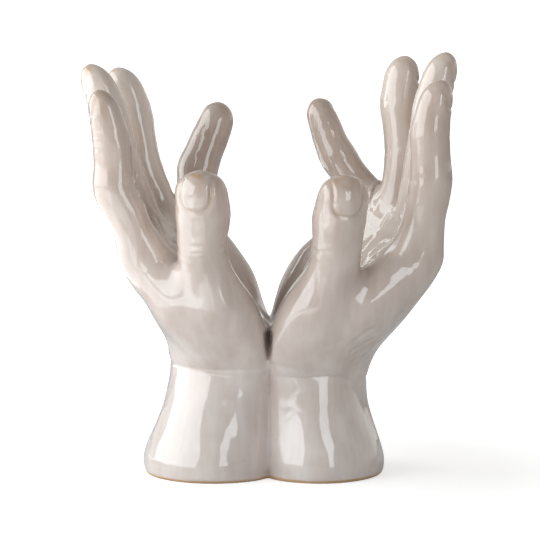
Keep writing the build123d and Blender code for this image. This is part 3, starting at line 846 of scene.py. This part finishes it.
def glaze():
    # A thick milky gloss over buff clay. Painted light and shade: greyer, warmer and darker up on the hands,
    # whiter low on the stubs, lighter inside the cup and on the middle and ring fingers, darker in hollows.
    # It is tan where it breaks on the rims of nails and on tips, with soft clouds and runs, brush strokes,
    # a few pinholes and a bare foot.
    material = bpy.data.materials.new("gloss_stoneware_glaze")
    material.use_nodes = True
    tree = material.node_tree
    shader = tree.nodes["Principled BSDF"]
    thin = node(tree, "Attribute", attribute_name="thin_glaze")
    crease_shade_mark = node(tree, "Attribute", attribute_name="painted_crease_shade")
    inside_light = node(tree, "Attribute", attribute_name="painted_inner_light")
    place = node(tree, "TexCoord").outputs["Object"]
    height = node(tree, "SeparateXYZ", {0: place}).outputs["Z"]
    # Clouds about 26 mm across and runs about 6 mm wide that are drawn out downwards
    cloud = node(tree, "TexNoise", {"Vector": place, "Scale": per_metre(26.32), "Detail": 4.0})
    run_size = (per_metre(5.882), per_metre(5.882), per_metre(33.33))
    drawn_out = node(tree, "Mapping", {"Vector": place, "Scale": run_size})
    runs = node(tree, "TexNoise", {"Vector": drawn_out.outputs[0], "Scale": 1.0, "Detail": 2.0})
    mottle = node(tree, "Math", {0: cloud.outputs[0], 1: runs.outputs[0]}, operation="ADD")
    patchy = node(tree, "MapRange", {VALUE: mottle.outputs[0], FROM_LOW: 0.72, FROM_HIGH: 1.28}).outputs[0]
    # Painted light and shade by height: darker, greyer and warmer up on the hands, lighter low on the stubs
    lit_low_down = node(tree, "MapRange", {VALUE: height, FROM_LOW: 190 * MM, FROM_HIGH: 30 * MM})
    high = node(tree, "MixRGB", {"Fac": patchy, "Color1": linear("#B6A092"), "Color2": linear("#C7B5A8")})
    low = node(tree, "MixRGB", {"Fac": patchy, "Color1": linear("#D6C7BF"), "Color2": linear("#E4DAD4")})
    # Painted light: lighter tones where light is thrown back into the cup and on the middle and ring fingers
    lit_inside_tone = node(tree, "MixRGB", {"Fac": patchy, "Color1": linear("#E3D3C6"), "Color2": linear("#F0E4DA")})
    sloped = node(tree, "MixRGB", {
        "Fac": lit_low_down.outputs[0], "Color1": high.outputs[0], "Color2": low.outputs[0],
    })
    tone = node(tree, "MixRGB", {
        "Fac": inside_light.outputs["Fac"], "Color1": sloped.outputs[0], "Color2": lit_inside_tone.outputs[0],
    })
    # Painted shade: hollows darkened towards grey-brown
    shade = node(tree, "Math", {0: crease_shade_mark.outputs["Fac"], 1: 0.3}, operation="MULTIPLY")
    crease_shaded = node(tree, "MixRGB", {
        "Fac": shade.outputs[0], "Color1": tone.outputs[0], "Color2": linear("#A8968A"),
    })
    # The breaks are uneven over about 6 mm, and the pinholes lie about 7 mm apart
    grit = node(tree, "TexNoise", {"Vector": place, "Scale": per_metre(6.25), "Detail": 3.0})
    uneven = node(tree, "MapRange", {VALUE: grit.outputs[0], FROM_LOW: 0.42, FROM_HIGH: 0.62, TO_HIGH: 0.6})
    worn = node(tree, "Math", {0: thin.outputs["Fac"], 1: uneven.outputs[0]}, operation="MULTIPLY")
    broken = node(tree, "MixRGB", {
        "Fac": worn.outputs[0], "Color1": crease_shaded.outputs[0], "Color2": linear("#C3935F"),
    })
    pits = node(tree, "TexVoronoi", {"Vector": place, "Scale": per_metre(7.143)})
    pinholes = node(tree, "MapRange", {VALUE: pits.outputs["Distance"], FROM_LOW: 0.04, FROM_HIGH: 0.02})
    pitted = node(tree, "MixRGB", {
        "Fac": pinholes.outputs[0], "Color1": broken.outputs[0], "Color2": linear("#B08D6C"),
    })
    # The glaze was wiped off the foot along a wandering line, up to about 2 mm above the floor
    wander = node(tree, "MapRange", {
        VALUE: cloud.outputs[0], FROM_LOW: 0.3, FROM_HIGH: 0.7, TO_LOW: 0.6 * MM, TO_HIGH: 1.7 * MM,
    })
    above = node(tree, "Math", {0: height, 1: wander.outputs[0]}, operation="SUBTRACT")
    foot = node(tree, "MapRange", {VALUE: above.outputs[0], FROM_LOW: 0.6 * MM, FROM_HIGH: 0.0})
    bare = node(tree, "MixRGB", {
        "Fac": foot.outputs[0], "Color1": pitted.outputs[0], "Color2": linear("#CBAA82"),
    })
    gloss = node(tree, "MapRange", {VALUE: foot.outputs[0], TO_LOW: 0.06, TO_HIGH: 0.75})
    coat = node(tree, "Math", {0: 1.0, 1: foot.outputs[0]}, operation="SUBTRACT")
    # The surface is uneven over about 8 mm, and the brush strokes on the digits are about 2 mm wide
    peel = node(tree, "TexNoise", {"Vector": place, "Scale": per_metre(7.692), "Detail": 1.0})
    stroke_size = (per_metre(1.923), per_metre(1.923), per_metre(33.33))
    strokes = node(tree, "Mapping", {"Vector": place, "Scale": stroke_size})
    brushed = node(tree, "TexNoise", {"Vector": strokes.outputs[0], "Scale": 1.0, "Detail": 1.0})
    on_digits = node(tree, "MapRange", {
        VALUE: height, FROM_LOW: 118 * MM, FROM_HIGH: 150 * MM, TO_LOW: 0.1, TO_HIGH: 0.9,
    })
    streaks = node(tree, "Math", {0: brushed.outputs[0], 1: on_digits.outputs[0]}, operation="MULTIPLY")
    peeled = node(tree, "Math", {0: peel.outputs[0], 1: streaks.outputs[0]}, operation="ADD")
    skin = node(tree, "Math", {0: peeled.outputs[0], 1: pinholes.outputs[0]}, operation="SUBTRACT")
    relief = node(tree, "Bump", {"Height": skin.outputs[0], "Distance": 0.05 * MM, "Strength": 1.0})
    tree.links.new(bare.outputs[0], shader.inputs["Base Color"])
    tree.links.new(gloss.outputs[0], shader.inputs["Roughness"])
    tree.links.new(coat.outputs[0], shader.inputs["Coat Weight"])
    tree.links.new(relief.outputs[0], shader.inputs["Normal"])
    tree.links.new(relief.outputs[0], shader.inputs["Coat Normal"])
    shader.inputs["IOR"].default_value = 1.52
    shader.inputs["Coat Roughness"].default_value = 0.02
    return material


def bisque():
    # Fired clay left bare: dry, sandy and buff, with darker grog grains
    material = bpy.data.materials.new("bare_stoneware")
    material.use_nodes = True
    tree = material.node_tree
    shader = tree.nodes["Principled BSDF"]
    place = node(tree, "TexCoord").outputs["Object"]
    # Sand over about 1.4 mm, and grog grains about 2.4 mm apart
    sand = node(tree, "TexNoise", {"Vector": place, "Scale": per_metre(1.429), "Detail": 4.0})
    tone = node(tree, "MixRGB", {
        "Fac": sand.outputs[0], "Color1": linear("#A98967"), "Color2": linear("#CBAE8E"),
    })
    grog = node(tree, "TexVoronoi", {"Vector": place, "Scale": per_metre(2.381)})
    grains = node(tree, "MapRange", {VALUE: grog.outputs["Distance"], FROM_LOW: 0.16, FROM_HIGH: 0.08})
    speckled = node(tree, "MixRGB", {
        "Fac": grains.outputs[0], "Color1": tone.outputs[0], "Color2": linear("#7E6046"),
    })
    relief = node(tree, "Bump", {"Height": sand.outputs[0], "Distance": 0.2 * MM, "Strength": 1.0})
    tree.links.new(speckled.outputs[0], shader.inputs["Base Color"])
    tree.links.new(relief.outputs[0], shader.inputs["Normal"])
    shader.inputs["Roughness"].default_value = 0.85
    return material


def photo_camera(scene):
    """The camera that took the photograph."""
    camera = bpy.data.cameras.new("camera")
    camera.sensor_width = SENSOR
    camera.lens = SENSOR * FOCAL_PIXELS / PHOTO_PIXELS
    camera.clip_end = SEEN_TO
    holder = bpy.data.objects.new("camera", camera)
    scene.collection.objects.link(holder)
    tilt = math.radians(CAMERA_TILT)
    away = Vector((0, math.cos(tilt), -math.sin(tilt))) * CAMERA_AWAY
    holder.location = (Vector(CAMERA_AIM) - away) * MM
    holder.rotation_euler = (math.pi / 2 - tilt, 0, 0)
    scene.camera = holder


def room(scene):
    """A room that is dark in front and overhead and light behind, with a white ground for the camera."""
    world = bpy.data.worlds.new("studio")
    scene.world = world
    world.use_nodes = True
    tree = world.node_tree
    tree.nodes.clear()
    path = node(tree, "LightPath")
    way = node(tree, "SeparateXYZ", {0: node(tree, "TexCoord").outputs["Generated"]})
    depth = node(tree, "MapRange", {
        VALUE: way.outputs["Y"], FROM_LOW: -0.6, FROM_HIGH: 0.5, TO_LOW: 0.235, TO_HIGH: 0.7,
    })
    height = node(tree, "MapRange", {
        VALUE: way.outputs["Z"], FROM_LOW: 0.1, FROM_HIGH: 0.8, TO_LOW: 1.0, TO_HIGH: 0.45,
    })
    breadth = node(tree, "MapRange", {
        VALUE: way.outputs["X"], FROM_LOW: -0.5, FROM_HIGH: 1.0, TO_LOW: 0.95, TO_HIGH: 1.15,
    })
    level = node(tree, "Math", {0: depth.outputs[0], 1: height.outputs[0]}, operation="MULTIPLY")
    level = node(tree, "Math", {0: level.outputs[0], 1: breadth.outputs[0]}, operation="MULTIPLY")
    seen = node(tree, "Background", {"Color": (1, 1, 1, 1), "Strength": 1.0})
    walls = node(tree, "Background", {"Color": (1.0, 0.96, 0.92, 1), "Strength": level.outputs[0]})
    mix = node(tree, "MixShader", {0: path.outputs["Is Camera Ray"], 1: walls.outputs[0], 2: seen.outputs[0]})
    node(tree, "OutputWorld", {"Surface": mix.outputs[0]})


def lamps(scene):
    """The lit wall on the left, the cards on the table and the strip on the right."""
    for name, (place, aim, size, power) in LAMPS.items():
        lamp = bpy.data.lights.new(name, "AREA")
        lamp.shape = "RECTANGLE"
        lamp.size, lamp.size_y = size
        lamp.energy = power
        lamp.color = LAMP_COLOUR
        holder = bpy.data.objects.new(name, lamp)
        holder.location = place
        holder.rotation_euler = (Vector(aim) - Vector(place)).to_track_quat("-Z", "Y").to_euler()
        holder.visible_camera = False
        scene.collection.objects.link(holder)


def paper_floor():
    """White paper under the part, which fades into the white ground and keeps a soft shadow."""
    shape = bmesh.new()
    bmesh.ops.create_grid(shape, x_segments=1, y_segments=1, size=FLOOR_HALF)
    floor = modelled("floor", shape)
    # Matt white paper that is as bright as the ground a few hand breadths away from the part
    material = bpy.data.materials.new("white_paper_floor")
    material.use_nodes = True
    tree = material.node_tree
    tree.nodes.clear()
    paper = node(tree, "BsdfDiffuse", {"Color": linear("#E7E7E7")})
    path = node(tree, "LightPath")
    place = node(tree, "TexCoord")
    away = node(tree, "VectorMath", {0: place.outputs["Object"]}, operation="LENGTH")
    level = node(tree, "MapRange", {
        VALUE: away.outputs["Value"], FROM_LOW: 120 * MM, FROM_HIGH: 360 * MM, TO_LOW: 0.56, TO_HIGH: 1.0,
    })
    glow = node(tree, "Emission", {"Color": (1, 1, 1, 1), "Strength": level.outputs[0]})
    both = node(tree, "AddShader", {0: paper.outputs[0], 1: glow.outputs[0]})
    mix = node(tree, "MixShader", {0: path.outputs["Is Camera Ray"], 1: paper.outputs[0], 2: both.outputs[0]})
    node(tree, "OutputMaterial", {"Surface": mix.outputs[0]})
    floor.data.materials.append(material)


def studio():
    """The photograph's camera, light and ground."""
    scene = bpy.context.scene
    scene.view_settings.view_transform = "Standard"
    photo_camera(scene)
    room(scene)
    lamps(scene)
    paper_floor()


glazed, bare = glaze(), bisque()
for piece in hands():
    piece.data.materials.clear()
    piece.data.materials.append(glazed)
for side in SIDES:
    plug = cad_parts[f"{side}_base_plug"]
    plug.data.materials.clear()
    plug.data.materials.append(bare)
studio()
